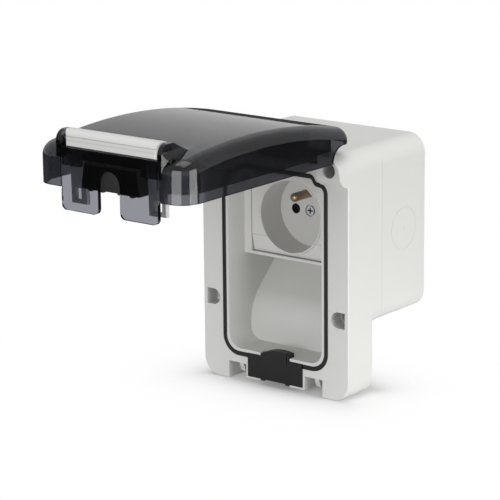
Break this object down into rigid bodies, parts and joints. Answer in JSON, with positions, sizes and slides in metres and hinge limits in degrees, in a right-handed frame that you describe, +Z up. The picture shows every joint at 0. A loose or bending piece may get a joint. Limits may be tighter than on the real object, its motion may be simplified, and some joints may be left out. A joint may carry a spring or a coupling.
{
  "type": "weatherproof wall socket",
  "caption": "Wall-mounted outdoor socket in a sealed box, with a smoked arched lid hinged at the top and a pivoting snap latch at its end.",
  "frame": {"origin": "on the wall face of the back box, straight behind the middle of the round plug recess", "axes": "+X across the face, +Y into the wall so the front looks along -Y, +Z up"},
  "size_m": [0.097, 0.202, 0.1598],
  "materials": {
    "housing": "satin",
    "smoked_lid": "gloss",
    "latch_white": "satin",
    "module_white": "gloss",
    "insulator": "matte",
    "seal_black": "matte",
    "brass": "satin",
    "steel": "satin"
  },
  "bodies": {
    "case": {"front_housing": "housing", "socket_well": "housing", "back_box": "housing", "housing_seal": "seal_black", "entry_grommet": "seal_black", "opening_gasket": "seal_black", "cable_seal_lower": "seal_black", "socket_cover": "module_white", "recess_cup": "module_white", "shutter": "seal_black", "socket_base": "insulator", "earth_pin": "brass", "centre_screw": "steel", "housing_screws": "steel", "earth_strip": "brass", "contact_left": "brass", "contact_right": "brass", "terminal_left": "brass", "terminal_right": "brass", "terminal_earth": "brass", "terminal_screws": "steel", "hinge_pin_left": "steel", "hinge_pin_right": "steel"},
    "lid": {"lid": "smoked_lid", "cable_seal_upper": "seal_black", "latch_pin": "steel"},
    "latch": {"latch": "latch_white"}
  },
  "joints": [
    {"name": "lid_hinge", "type": "hinge", "parent": "case", "child": "lid", "pos_m": [0, -0.0696, 0.0383], "axis": [1, 0, 0], "range_deg": [-5, 90]},
    {"name": "latch_hinge", "type": "hinge", "parent": "lid", "child": "latch", "pos_m": [0, -0.196, 0.063], "axis": [1, 0, 0], "range_deg": [-8.5, 0], "stiffness_Nm_per_rad": 0.03, "springref_deg": 5.73}
  ]
}
